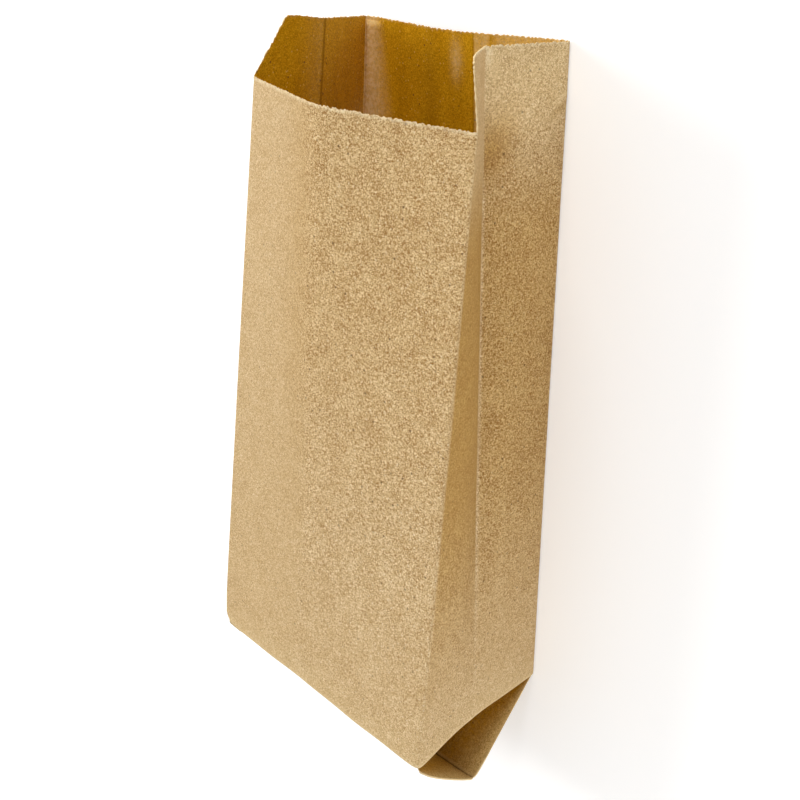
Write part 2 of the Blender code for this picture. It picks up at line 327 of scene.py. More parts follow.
def back_offset(place, height):
    """The back panel sags flat to the floor beside its raised left crease, and bows up off the
    floor towards the mouth, as a squared sine across and a squared rise along."""
    share = height / BODY_LENGTH
    raised = LEFT_BASE_LIFT * (1 - share)
    settle = raised * ((1 - place) - bump(place * PANEL_WIDTH, CURL_REACH))
    near_mouth = np.clip((share - BACK_BOW_START) / (1 - BACK_BOW_START), 0.0, 1.0)
    return settle - BACK_BOW * np.sin(math.pi * place) ** 2 * near_mouth ** 2


def gusset_offset(place, height):
    """A half gusset bellies out: a sine across times a squared sine along."""
    share = height / BODY_LENGTH
    return GUSSET_BELLY * np.sin(math.pi * place) * np.sin(math.pi * share) ** 2


def soft_fold(gap, height):
    """How far the right gusset's middle crease is rounded off near the lip fold: a hyperbola
    between its two flat halves, which fades upwards."""
    slope = math.tan(math.radians(RIGHT_BASE_ANGLES[0] - RIGHT_BASE_ANGLES[1]) / 2)
    rounded = slope * (np.sqrt(gap ** 2 + SOFT_FOLD_RADIUS ** 2) - gap)
    return rounded * (1 - ramp(height, 0.0, SOFT_FOLD_TOP))


def right_front_offset(place, height):
    """The right gusset's front half, whose middle crease is soft near the lip fold."""
    return gusset_offset(place, height) + soft_fold(place * HALF_GUSSET, height)


def nick_line(place, height):
    """How far a point of the right gusset's back half lies above its short nick, and how much
    of the nick is left at its place."""
    left = ramp(place, 0.0, NICK_START) * (1 - ramp(place, NICK_FADE * NICK_SPAN, NICK_SPAN))
    return height - (NICK_HEIGHT - NICK_FALL * place), left


def right_back_offset(place, height):
    """The right gusset's back half. It is pushed out along a soft ridge a little below the
    mouth, which climbs to its back crease, and above a short nick that starts there: a hump
    that rises slowly from above and drops off at once below."""
    ridge = RIDGE_HEIGHT + RIDGE_CLIMB * (1 - place)
    swell = bump(height - ridge, RIDGE_REACH) * np.sin(math.pi * place)
    above, left = nick_line(place, height)
    nick = left * np.where(above > 0, bump(above, NICK_SLOPE), bump(above, NICK_STEP))
    soft = soft_fold((1 - place) * HALF_GUSSET, height)
    return gusset_offset(place, height) + RIDGE_RISE * swell + NICK_RISE * nick + soft


Panel = namedtuple("Panel", "first last width columns offset")

# Panels in order round the tube: two creases, width, columns and offset
PANELS = (Panel("front_right", "front_left", PANEL_WIDTH, 216, front_offset),
          Panel("front_left", "mid_left", HALF_GUSSET, 60, gusset_offset),
          Panel("mid_left", "back_left", HALF_GUSSET, 54, gusset_offset),
          Panel("back_left", "back_right", PANEL_WIDTH, 150, back_offset),
          Panel("back_right", "mid_right", HALF_GUSSET, 72, right_back_offset),
          Panel("mid_right", "front_right", HALF_GUSSET, 72, right_front_offset))
FRONT, LEFT_FRONT, LEFT_BACK, BACK, RIGHT_BACK, RIGHT_FRONT = range(len(PANELS))
FRONT_COLUMNS = PANELS[FRONT].columns


def rounding(points, corner, radius):
    """How far points near a sharp corner draw back so that it turns along an arc: a hyperbola
    less its slope, the radius at the corner and little past three times that."""
    gap = np.linalg.norm(points - corner, axis=-1)
    return (np.sqrt(gap ** 2 + radius ** 2) - gap)[..., None]


# The lip fold's front corners: radius, and how far each draws back into the bag for it
CORNERS = {"front_left": (LEFT_CORNER_RADIUS, CORNER_DRAW),
           "front_right": (RIGHT_CORNER_RADIUS, CORNER_DRAW * (-1, 1, 1))}


def rounded_corners(points):
    """Points of the tube, whose front corners at the lip fold are rounded."""
    for name, (radius, inward) in CORNERS.items():
        points = points + rounding(points, crease(name, np.array(0.0)), radius) * inward
    return points


# Nine waves a panel: direction, length and phase, each from nothing to one
RIPPLES = np.random.default_rng(11).uniform(0.0, 1.0, (len(PANELS), 9, 3))


def ripple(panel, place, height):
    """The paper's slight waviness: a sum of sine waves that run at random across a panel,
    held still at its two creases."""
    waves = 0.0
    for turn, length, phase in RIPPLES[PANELS.index(panel)]:
        angle = math.pi * turn
        span = RIPPLE_SPANS[0] + length * (RIPPLE_SPANS[1] - RIPPLE_SPANS[0])
        run = place * panel.width * math.cos(angle) + height * math.sin(angle)
        waves = waves + span * np.sin(2 * math.pi * (run / span + phase))
    return RIPPLE_SHARE * waves * (1 - (2 * place - 1) ** 6)


def rested(points):
    """Points kept on the floor: the soft maximum of their height and the resting height."""
    above = points[..., 2] - RESTING
    lifted = points.copy()
    lifted[..., 2] = RESTING + (above + np.sqrt(above ** 2 + SOFT_REST ** 2)) / 2
    return lifted


def panel_points(panel, place, height):
    """A panel ruled between its two creases and moved out along its flat normal. Near the
    front corners it is then rounded, and all of it is kept on the floor."""
    start, end = crease(panel.first, height), crease(panel.last, height)
    across = end - start
    outward = np.stack([across[..., 2], np.zeros_like(height), -across[..., 0]], axis=-1)
    outward /= np.linalg.norm(outward, axis=-1, keepdims=True)
    rise = panel.offset(place, height) + ripple(panel, place, height)
    return rested(rounded_corners(start + place[..., None] * across + rise[..., None] * outward))


def ragged(length, count):
    """The edge that a notched cutter leaves, as a drop at count steps along a length: round
    teeth, one a pitch, with sharp notches between them, whose depth and place wander."""
    along = np.linspace(0.0, length, count)
    teeth = np.arange(int(length / TOOTH_PITCH) + 3)
    shifts = RANDOM.uniform(-TOOTH_WANDER, TOOTH_WANDER, len(teeth))
    depths = RANDOM.uniform(TOOTH_LEAST, 1.0, len(teeth))
    wander = np.interp(along / TOOTH_PITCH, teeth, shifts)
    depth = np.interp(along / TOOTH_PITCH, teeth, depths)
    notch = (2 * np.abs((along / TOOTH_PITCH + wander) % 1.0 - 0.5)) ** 2
    fuzz = RANDOM.uniform(-TOOTH_FUZZ, TOOTH_FUZZ, count)
    return TOOTH_DEPTH * (TOOTH_SHARE * depth * notch + fuzz)


def cut_line(panel, place):
    """The height of the front cut, carried on round the tube, higher at the left."""
    start, end = (float(name.endswith("left")) for name in panel[:2])
    return CUT_HEIGHT + LIP_TILT * (start + place * (end - start))


def mouth_line(panel, place):
    """How high a panel reaches above the cut: the body's length, less the slanting cut at the
    left, the nipped corner at the right and the dip of the back edge."""
    if panel is PANELS[LEFT_FRONT]:
        lip, slant = cut_line(panel, place), SLANT_RUN / HALF_GUSSET
        tip = LEFT_TIP_RISE * np.minimum(1.0, (1 - place) / (1 - slant))
        return lip + np.minimum(place / slant, 1.0) * (BODY_LENGTH + tip - lip)
    if panel is PANELS[BACK]:
        return BODY_LENGTH - BACK_DIP * np.sin(math.pi * place) ** 2
    if panel is PANELS[RIGHT_FRONT]:
        return BODY_LENGTH - NIPPED_CORNER * bump((1 - place) * HALF_GUSSET, NIP_REACH)
    return np.full_like(place, BODY_LENGTH)


def places(panel, closed=False):
    """The places of a panel's columns, without the last crease unless closed."""
    return np.arange(panel.columns + int(closed)) / panel.columns


def smooth_across(points, passes, closed):
    """Rounds the creases: each pass takes a quarter of both neighbours' places and a half of
    its own, round the whole tube or between two free edges."""
    for _ in range(passes):
        if closed:
            near = np.roll(points, 1, axis=1) + np.roll(points, -1, axis=1)
        else:
            near = np.concatenate([points[:, :1], points[:, :-1]], axis=1)
            near = near + np.concatenate([points[:, 1:], points[:, -1:]], axis=1)
        points = points / 2 + near / 4
    return points


def graded(*stretches):
    """Rows at even steps in each stretch of (end, count), joined from zero."""
    rows, start = [np.array([0.0])], 0.0
    for end, count in stretches:
        rows.append(start + (end - start) * np.arange(1, count + 1) / count)
        start = end
    return np.concatenate(rows)


BODY_ROWS = graded((0.018, 6), (0.62, 15), (0.97, 17), (1.0, 5))
ABOVE_ROWS = graded((0.90, 14), (1.0, 5))
KEEL_ROWS = graded((0.08, 5), (0.94, 6), (1.0, 6))

# The paper's shades, kept as attributes of its points, several of them painted light and shade
SHADES = ("fold", "edge", "calm", "painted_shade", "painted_shadow", "lap", "dark_mark_and_shade", "painted_depth_shade")


def shaded(points, **shades):
    """A grid with its shades after its points, each from nothing to one: how rubbed or torn a
    point is, with painted highlights and light, how little its grain shows, how much painted
    shade deepens its tone, where painted shadow falls, how pale or dark the inside is there,
    with painted shade at a crease and a seam, and how much painted shade a pocket's depth gets."""
    columns = [np.broadcast_to(shades.get(name, 0.0), points.shape[:-1]) for name in SHADES]
    return np.concatenate([points, np.stack(columns, axis=-1)], axis=-1)


def nearness(distance, width):
    """One at no distance, falling off as a bell curve of the given width."""
    return np.exp(-(distance / width) ** 2)


def spot(gap, height, centre, reach):
    """A smooth hump over a gap and a height, one at its centre and nothing past its reach."""
    return bump(gap - centre[0], reach[0]) * bump(height - centre[1], reach[1])


def lip_rub_and_highlight(gap):
    """How rubbed the paper is at a gap from the lip fold, with a painted highlight of the rounded
    fold: a narrow bell curve and a wide one.
    """
    return sum(share * nearness(gap, width) for share, width in LIP_RUBS_AND_HIGHLIGHTS)


def round_the_tube():
    """For each column: its panel's number and its place on it."""
    numbers = np.concatenate([np.full(panel.columns, index) for index, panel in enumerate(PANELS)])
    return numbers, np.concatenate([places(panel) for panel in PANELS])


def crease_gap(numbers, place):
    """How far points lie from the nearer crease of their panel."""
    return np.minimum(place, 1 - place) * np.array([panel.width for panel in PANELS])[numbers]


def calm_shade(numbers, place, height):
    """Where the grain shows least: on the front panel left of its bend, on the right gusset's
    front half and near the lip fold, most on that gusset's back half."""
    side = np.where(numbers == FRONT, ramp(place, *CALM_PLACES),
                    np.where(numbers == RIGHT_FRONT, ramp(height, *CALM_RISE), 0.0))
    low = np.where(numbers == RIGHT_BACK, 1.0, CALM_LOW) * (1 - ramp(height, *CALM_FALL))
    return np.maximum(side, low)


def rub_and_highlight_shade(numbers, place, height):
    """How rubbed the paper is, with a painted highlight of each rounded fold: along the left front
    crease and the left gusset's others, hardly along the rest. Painted light on the right
    gusset: a wide patch below the mouth, most in its corner, and a highlight above the nick."""
    gap = crease_gap(numbers, place)
    beside = ((numbers == FRONT) & (place > 0.5)) | ((numbers == LEFT_FRONT) & (place < 0.5))
    left = LEFT_EDGE_RUB * np.where(beside, nearness(gap, FOLD_WIDTH), 0.0)
    on_left = (numbers == LEFT_FRONT) | (numbers == LEFT_BACK)
    others = np.where(on_left, LEFT_GUSSET_RUB, OTHER_RUB) * nearness(gap, FOLD_WIDTH)
    # Painted light: the patch below the mouth, its corner, and the highlight above the nick
    patch = MOUTH_PAINTED_LIGHT * ramp(height + MOUTH_LIGHT_SLANT * place, *MOUTH_LIGHT_RISE)
    corner = CORNER_PAINTED_LIGHT * spot((1 - place) * HALF_GUSSET, height, *LIT_CORNER_SPOT)
    above, nick = nick_line(place, height)
    nick = NICK_HIGHLIGHT * nick * nearness(above - NICK_HIGHLIGHT_RISE, NICK_HIGHLIGHT_WIDTH)
    right = (numbers == RIGHT_BACK) * np.maximum(np.maximum(patch, corner), nick)
    return np.maximum(np.maximum(left, others), right)


def painted_shade_tone(numbers, place, height):
    """Painted shade, as a deeper tone: on the gussets, most on the right one's front half, where it
    lessens near the lip fold and the mouth, and on the front panel right of its bend."""
    side = ramp(crease_gap(numbers, place), 0.0, TINT_EDGE)
    clear = 1 - nearness(height, TINT_FADE)
    depth = np.where(numbers == RIGHT_FRONT, 1.0, RIGHT_BACK_TINT)
    right = depth * side * (clear - MOUTH_CLEARING * ramp(height, *MOUTH_CLEARING_RISE))
    front = FRONT_TINT * (1 - ramp(place, *FRONT_TINT_PLACES)) * ramp(height, *FRONT_TINT_RISE)
    tones = np.select([numbers == FRONT, numbers == BACK, numbers < BACK],
                      [front, 0.0, LEFT_TINT * clear], right)
    return np.clip(tones, 0.0, 1.0)


def painted_shadows(numbers, place, height):
    """Painted shadow: the hollow beside the right middle crease, a little below the mouth, and
    the shade below the nick."""
    gap = (1 - place) * HALF_GUSSET
    hollow = spot(gap, height - SHADOW_SLANT * gap, *SHADOWED_SPOT)
    above, nick = nick_line(place, height)
    below = NICK_SHADE * nick * nearness(above + NICK_SHADE_DROP, NICK_SHADE_WIDTH)
    return (numbers == RIGHT_BACK) * np.maximum(hollow, below)


def lap_shade(numbers, place, height):
    """Pale marks on the inside near the mouth: the glued lap beside the back left crease,
    which blurs and widens downwards, painted light on the strip beside the left middle
    crease, a pale band with a fine line, and a streak."""
    down, across, gap = BODY_LENGTH - height, place * PANEL_WIDTH, (1 - place) * HALF_GUSSET
    start, end = PALE_BAND
    lap = 1 - ramp(across, LAP_START, SIDE_LAP_WIDTH + LAP_BLUR + LAP_SPREAD * down)
    band = ramp(place, start - BAND_RISE, start) * (1 - ramp(place, end, end + BAND_FALL))
    line = BAND_LINE_TONE * nearness(across - end * PANEL_WIDTH, BAND_LINE_WIDTH)
    streak = PALE_STREAK_TONE * nearness(across - PALE_STREAK * PANEL_WIDTH, PALE_STREAK_WIDTH)
    streak = streak * bump(down - PALE_STREAK_DROP, PALE_STREAK_REACH)
    beyond = BEYOND_BAND_TONE * ramp(place, end, end + BEYOND_BAND_RISE)
    back = np.broadcast_arrays(lap, PALE_BAND_TONE * band, line, streak, beyond)
    # Painted light beside the left middle crease
    beside = BESIDE_CREASE_LIGHT * nearness(gap, BESIDE_WIDTH) * (1 - ramp(down, *BESIDE_FALL))
    below = BELOW_TONE * nearness(gap, LAP_START + LAP_SPREAD * down) * ramp(down, *BELOW_RISE)
    marks = (numbers == BACK) * np.max(back, axis=0) + (numbers == LEFT_FRONT) * beside
    return np.clip(marks + (numbers == LEFT_BACK) * (below + LEFT_BACK_TONE), 0.0, 1.0)


def dark_marks_and_crease_shade(numbers, place):
    """Dark marks on the inside, all the way down: painted shade along the fold of the left middle
    crease, the edge of the pale band and a soft streak."""
    across = place * PANEL_WIDTH
    # Painted shade along the left middle crease
    fold = nearness(place * HALF_GUSSET - INNER_FOLD_GAP, INNER_FOLD_SHADE_WIDTH)
    edge = nearness(across - PALE_BAND[0] * PANEL_WIDTH + INNER_FOLD_GAP, BAND_LINE_WIDTH)
    streak = nearness(across - DARK_STREAK * PANEL_WIDTH, DARK_STREAK_WIDTH)
    back = np.maximum(BAND_EDGE_TONE * edge, DARK_STREAK_TONE * streak)
    return (numbers == LEFT_BACK) * fold + (numbers == BACK) * back


def tube_shades(numbers, place, height):
    """Every shade that depends on a point's place round the tube and its height."""
    at = numbers, place, height
    return {"fold": rub_and_highlight_shade(*at), "calm": calm_shade(*at), "painted_shade": painted_shade_tone(*at),
            "painted_shadow": painted_shadows(*at), "lap": lap_shade(*at), "dark_mark_and_shade": dark_marks_and_crease_shade(numbers, place)}


def ruled(panel, place, rows, low, high):
    """A panel's points at its columns' places and at rows from a low to a high line, and their
    heights."""
    height = low + rows[:, None] * (high - low)
    return panel_points(panel, np.broadcast_to(place, height.shape), height), height


def body_grid():
    """The body from the lip fold to the cut as a closed grid, whose front edge is ragged."""
    numbers, place = round_the_tube()
    parts = [ruled(panel, places(panel), BODY_ROWS, 0.0, cut_line(panel, places(panel)))
             for panel in PANELS]
    points, height = (np.concatenate(part, axis=1) for part in zip(*parts))
    points = smooth_across(points, CREASE_PASSES, closed=True)
    drop = ragged(PANEL_WIDTH, FRONT_COLUMNS) * ramp(places(PANELS[FRONT]), 0.0, CUT_START)
    points[:, :FRONT_COLUMNS, 1] -= ramp(BODY_ROWS, *CUT_ROWS)[:, None] * drop
    shades = tube_shades(numbers, place, height)
    shades["fold"] = np.maximum(shades["fold"], lip_rub_and_highlight(height))
    cut_gap = np.where(numbers == FRONT, height[-1] - height, BODY_LENGTH)
    return shaded(points, edge=nearness(cut_gap, TORN_WIDTH), **shades)


def upper_grid(body):
    """What stands above the cut as an open grid, from the left front crease round the back to
    the right front crease. Its top is ragged, and so is its free side, the torn corner's."""
    numbers, place = (values[FRONT_COLUMNS:] for values in round_the_tube())
    numbers, place = np.append(numbers, RIGHT_FRONT), np.append(place, 1.0)
    parts, drops = [], []
    for panel in PANELS[LEFT_FRONT:]:
        across = places(panel, closed=panel is PANELS[RIGHT_FRONT])
        lip, top = cut_line(panel, across), mouth_line(panel, across)
        parts.append(ruled(panel, across, ABOVE_ROWS, lip, top))
        drops.append(ragged(panel.width, len(across)) * ramp(top - lip, 0.0, TOOTHED_FROM))
    points, height = (np.concatenate(part, axis=1) for part in zip(*parts))
    points = smooth_across(points, CREASE_PASSES, closed=False)
    points[..., 1] -= ramp(ABOVE_ROWS, *MOUTH_ROWS)[:, None] * np.concatenate(drops)
    side_gap = np.arange(points.shape[1])[::-1] * HALF_GUSSET / PANELS[RIGHT_FRONT].columns
    tear = ragged(LIP_CUT, len(ABOVE_ROWS)) * ramp(ABOVE_ROWS, 0.0, TEAR_START)
    inward = points[:, -PANELS[RIGHT_FRONT].columns // 8] - points[:, -1]
    inward /= np.linalg.norm(inward, axis=-1, keepdims=True)
    points += (tear[:, None] * bump(side_gap, TEAR_REACH))[..., None] * inward[:, None]
    points[0] = np.concatenate([body[-1, FRONT_COLUMNS:, :3], body[-1, :1, :3]])
    edge = np.maximum(nearness(height[-1] - height, TORN_WIDTH), nearness(side_gap, TORN_WIDTH))
    fleck = FLECK_TONE * spot((1 - place) * HALF_GUSSET, height, *TORN_FLECK)
    edge = np.maximum(edge, (numbers == RIGHT_BACK) * fleck)
    return shaded(points, edge=edge, **tube_shades(numbers, place, height))


def hang(back, front, lean):
    """The end of the glued seam: a strip's depth from both ends of the lip."""
    middle, along = (back + front) / 2, (front - back) / np.linalg.norm(front - back)
    drop = math.sqrt(STRIP_DEPTH ** 2 - (np.linalg.norm(front - back) / 2) ** 2)
    down = np.array([-math.sin(math.radians(lean)), -math.cos(math.radians(lean)), 0.0])
    down = down - along * (down @ along)
    return middle + drop * down / np.linalg.norm(down)


def seam_ends():
    """Both ends of the glued seam, and the tips of the two tucked gussets on it."""
    corner = {name: rounded_corners(crease(name, np.array(0.0))) for name in BASE}
    right = hang(corner["back_right"], corner["front_right"], KEEL_LEAN)
    left = hang(corner["back_left"], corner["front_left"], 0.0)
    along = (left - right) / np.linalg.norm(left - right)
    return right, left, right + HALF_GUSSET * along, left - HALF_GUSSET * along


def keel(rim):
    """The tube below the lip fold: each column runs straight from the lip to its place on the
    seam, which is the whole seam for both strips and one tip for a gusset."""
    _, _, right_tip, left_tip = seam_ends()
    seam = []
    for panel in PANELS:
        start, end = (left_tip if name.endswith("left") else right_tip
                      for name in (panel.first, panel.last))
        seam.append(start + places(panel)[:, None] * (end - start))
    points = rim[:, :3] + KEEL_ROWS[:, None, None] * (np.concatenate(seam) - rim[:, :3])
    return shaded(points, fold=lip_rub_and_highlight(KEEL_ROWS * STRIP_DEPTH)[:, None], calm=KEEL_CALM)


def round_lip(grid, rim_row, passes, reach):
    """Rounds the lip fold: rows within reach of it take a quarter of both neighbour rows."""
    first, last = rim_row - reach, rim_row + reach + 1
    for _ in range(passes):
        near = grid[first - 1:last - 1] + grid[first + 1:last + 1]
        grid[first:last, :, :3] = (grid[first:last] / 2 + near / 4)[..., :3]
    return grid


def facing(wall, centre):
    """A grid turned over if need be, so that its faces look towards a point."""
    middle = wall[len(wall) // 2, wall.shape[1] // 2, :3]
    normal = np.cross(wall[-1, -1, :3] - wall[0, 0, :3], wall[-1, 0, :3] - wall[0, 0, :3])
    return wall if normal @ (centre - middle) < 0 else wall[:, ::-1]


def rounded_tip(points, end, inward):
    """Points near an end of the seam, whose sharp tip is rounded."""
    return points + rounding(points, end, TIP_RADIUS) * TIP_DRAW * inward / np.linalg.norm(inward)


def fold_edge(name, top, end):
    """The outer edge of a pocket's wall: straight from the lip's corner, which is rounded at
    the front, to the seam's end, and bowed out at the front."""
    drop = KEEL_ROWS[:, None]
    if name not in CORNERS:
        return top + drop * (end - top)
    radius, inward = CORNERS[name]
    corner = top - radius * inward
    edge = corner + drop * (end - corner)
    bow = KEEL_BOW * np.sin(math.pi * drop ** KEEL_BOW_POWER) * KEEL_BOW_DIRECTION
    return edge + rounding(edge, corner, radius) * inward + bow


def pocket_walls(grid, rim_row):
    """The four triangles between the tucked gussets and the ends of the seam, each ruled from
    a crease's column below the lip to the fold edge from the lip to the seam's end. A wall is
    rubbed along that edge, with a painted highlight, has painted shade along the seam, with
    painted light beside it on the back walls, and painted shade in its depth."""
    right, left, right_tip, left_tip = seam_ends()
    starts = np.cumsum([0] + [panel.columns for panel in PANELS[:-1]])
    columns = {panel.first: grid[rim_row::-1, start, :3] for panel, start in zip(PANELS, starts)}
    across = np.linspace(0.0, 1.0, WALL_COLUMNS)[:, None]
    seam_gap = (1 - KEEL_ROWS[:, None]) * STRIP_DEPTH
    walls = []
    for name, facing_name in (("back_left", "front_left"), ("back_right", "front_right"),
                              ("front_left", "back_left"), ("front_right", "back_right")):
        column, end, tip = columns[name], left, left_tip
        if name.endswith("right"):
            end, tip = right, right_tip
        centre = (column[0] + columns[facing_name][0] + end + tip) / 4
        edge = fold_edge(name, column[0], end)
        wall = column[:, None] + across * (edge - column)[:, None]
        fold_gap = np.linalg.norm(wall - edge[:, None], axis=-1)
        # Painted light beside the seam on the back walls
        glow = SEAM_PAINTED_LIGHT * name.startswith("back") * nearness(seam_gap - SEAM_PAINTED_LIGHT_GAP, SEAM_LINE_WIDTH)
        # Painted highlight along the fold edge, painted shade along the seam and in the depth
        shades = {"fold": np.maximum(nearness(fold_gap, WALL_FOLD_WIDTH), glow),
                  "dark_mark_and_shade": nearness(seam_gap, SEAM_LINE_WIDTH),
                  "painted_depth_shade": 1 - ramp(across[:, 0], *WALL_SHADE_DEPTH), "calm": WALL_CALM}
        walls.append(facing(shaded(rounded_tip(wall, end, centre - end), **shades), centre))
    return walls


def side_lap():
    """The tube's glued lap: a second layer on the inside of the back panel, along its left
    crease."""
    place = np.linspace(LAP_INSET, LAP_INSET + SIDE_LAP_WIDTH, LAP_COLUMNS) / PANEL_WIDTH
    rows = np.linspace(LAP_INSET, BODY_LENGTH - 2 * LAP_INSET, LAP_ROWS)
    across, height = np.meshgrid(place, rows)
    rise = np.array([0.0, 0.0, (PAPER + LAP_THICKNESS) / 2])
    points = panel_points(PANELS[BACK], across, height) + rise
    return shaded(points, lap=lap_shade(np.full(across.shape, BACK), across, height))


def closing_flap(rim):
    """The bottom edge folded over the seam and glued to the outside of the back strip: rows
    of that strip near the seam, moved out by half of both layers."""
    right, left, right_tip, left_tip = seam_ends()
    start = sum(panel.columns for panel in PANELS[:BACK])
    lip = rim[start:start + PANELS[BACK].columns + 1, :3]
    seam = left_tip + np.linspace(0.0, 1.0, len(lip))[:, None] * (right_tip - left_tip)
    lip = np.concatenate([lip[:1], lip, lip[-1:]])
    seam = np.concatenate([left[None], seam, right[None]])
    gap = np.linspace(CLOSING_FLAP_DEPTH, FLAP_INSET, FLAP_ROWS)
    drop = 1 - gap / STRIP_DEPTH
    points = lip + drop[:, None, None] * (seam - lip)
    for end, corner in ((left, lip[0]), (right, lip[-1])):
        points = rounded_tip(points, end, (corner + (left + right) / 2) / 2 - end)
    outward = np.cross(seam[-1] - seam[0], lip[0] - seam[0])
    outward *= np.sign(-outward[1]) / np.linalg.norm(outward)
    gap = gap[:, None]
    return shaded(points + outward * (PAPER + LAP_THICKNESS) / 2,
                  edge=FLAP_EDGE_TONE * nearness(CLOSING_FLAP_DEPTH - gap, TORN_WIDTH),
                  fold=FLAP_FOLD_RUB * nearness(gap, FOLD_WIDTH))


def weld(grids, slots):
    """One set of points, faces and slots from several grids: points that lie within a
    micrometre are one point, and a face whose corners fall together loses them."""
    points = np.concatenate([grid.reshape(-1, grid.shape[-1]) for grid in grids])
    faces, face_slots, first = [], [], 0
    for grid, slot in zip(grids, slots):
        rows, columns = grid.shape[:2]
        index = first + np.arange(rows * columns).reshape(rows, columns)
        quads = np.stack([index[:-1, :-1], index[1:, :-1], index[1:, 1:], index[:-1, 1:]], axis=-1)
        faces.append(quads.reshape(-1, 4))
        face_slots.append(np.full(len(faces[-1]), slot))
        first += rows * columns
    keys = np.round(points[:, :3] / WELD_GAP).astype(np.int64)
    _, kept, new = np.unique(keys, axis=0, return_index=True, return_inverse=True)
    quads, face_slots = new.reshape(-1)[np.concatenate(faces)], np.concatenate(face_slots)
    fits = quads == np.roll(quads, 1, axis=1)
    whole, folded = fits.sum(axis=1) == 0, fits.sum(axis=1) == 1
    triangles = quads[folded][~fits[folded]].reshape(-1, 3)
    faces = quads[whole].tolist() + triangles.tolist()
    return points[kept], faces, np.concatenate([face_slots[whole], face_slots[folded]])


def bag_sheet():
    """The folded sheet's middle surface with its shades, as points, faces and slots, and the
    row of points along the lip fold."""
    body = body_grid()
    upper = upper_grid(body)
    lower = keel(body[0])
    rim_row = len(lower) - 1
    grid = round_lip(np.concatenate([lower[:0:-1], body]), rim_row, LIP_PASSES, LIP_REACH)
    closed = np.concatenate([grid, grid[:, :1]], axis=1)
    walls = pocket_walls(grid, rim_row)
    return weld([closed, upper, *walls], [SHEET_SLOT] * 2 + [WALL_SLOT] * 4), grid[rim_row]


def sheet_object(name, surface, materials, thickness, rim_slot):
    """A mesh object at the origin from shaded points, faces and slots, in the frame's place,
    which a Solidify modifier gives its thickness. A face's other side has the next slot, and
    its cut rim lies rim_slot slots further."""
    points, faces, slots = surface
    data = bpy.data.meshes.new(name)
    data.from_pydata((points[:, :3] + np.array(PLACE_IN_FRAME)).tolist(), [], faces)
    for index, shade in enumerate(SHADES):
        data.attributes.new(shade, "FLOAT", "POINT").data.foreach_set("value", points[:, 3 + index])
    for material in materials:
        data.materials.append(material)
    data.polygons.foreach_set("material_index", slots.astype(np.int32))
    data.polygons.foreach_set("use_smooth", np.ones(len(faces), dtype=bool))
    data.validate()
    data.update()
    item = bpy.data.objects.new(name, data)
    bpy.context.scene.collection.objects.link(item)
    wall = item.modifiers.new("paper", "SOLIDIFY")
    wall.solidify_mode = "NON_MANIFOLD"
    wall.nonmanifold_thickness_mode = "EVEN"
    wall.thickness = thickness
    wall.offset = 0.0
    wall.material_offset = 1
    wall.material_offset_rim = rim_slot
    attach(item, "root")
    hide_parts("paper_bag")


def linear(text):
    """Linear colour from an sRGB hex value."""
    value = np.array([int(text[i:i + 2], 16) for i in (1, 3, 5)]) / 255
    value = np.where(value <= 0.04045, value / 12.92, ((value + 0.055) / 1.055) ** 2.4)
    return (*value, 1.0)


def add(tree, kind, inputs=None, stops=None, **settings):
    """Adds a node with its settings. Each input is a value or another node's output, and the
    stops are a colour ramp's places and colours."""
    item = tree.nodes.new(kind)
    for name, value in settings.items():
        setattr(item, name, value)
    for name, value in (inputs or {}).items():
        if isinstance(value, bpy.types.NodeSocket):
            tree.links.new(value, item.inputs[name])
        else:
            item.inputs[name].default_value = value
    if stops:
        ramp_stops = item.color_ramp.elements
        while len(ramp_stops) < len(stops):
            ramp_stops.new(0.5)
        for element, (place, colour) in zip(ramp_stops, stops):
            element.position, element.color = place, colour
    return item


# The paper's patterns. A fibre is about 0.03 mm wide and a pixel of the photograph about 0.4 mm,
# so the grain is drawn as coarse as it needs to show. Noise has one cell a size.
GRAIN_SIZE = 0.606 * MM
GRAIN_RELIEF = 0.5 * MM
CLOUD_SIZE = 9.09 * MM
CLOUD_SHARE = 0.12
WEB_SIZE = 7.69 * MM
WEB_STRETCH = 0.07
PATCH_SIZE = 1.613 * MM
PATCH_EDGES = (0.42, 0.6)

# Specks, coarser than real ones for the same reason: their spacing, the share of places without
# one, and the radii of core and rim as shares of the spacing
GLINTS = (2.083 * MM, 0.6, 0.10, 0.22)
BARK = (4.348 * MM, 0.45, 0.06, 0.13)
BARK_BROWN = "#5E3F1C"
SPECK_TONE = 0.85


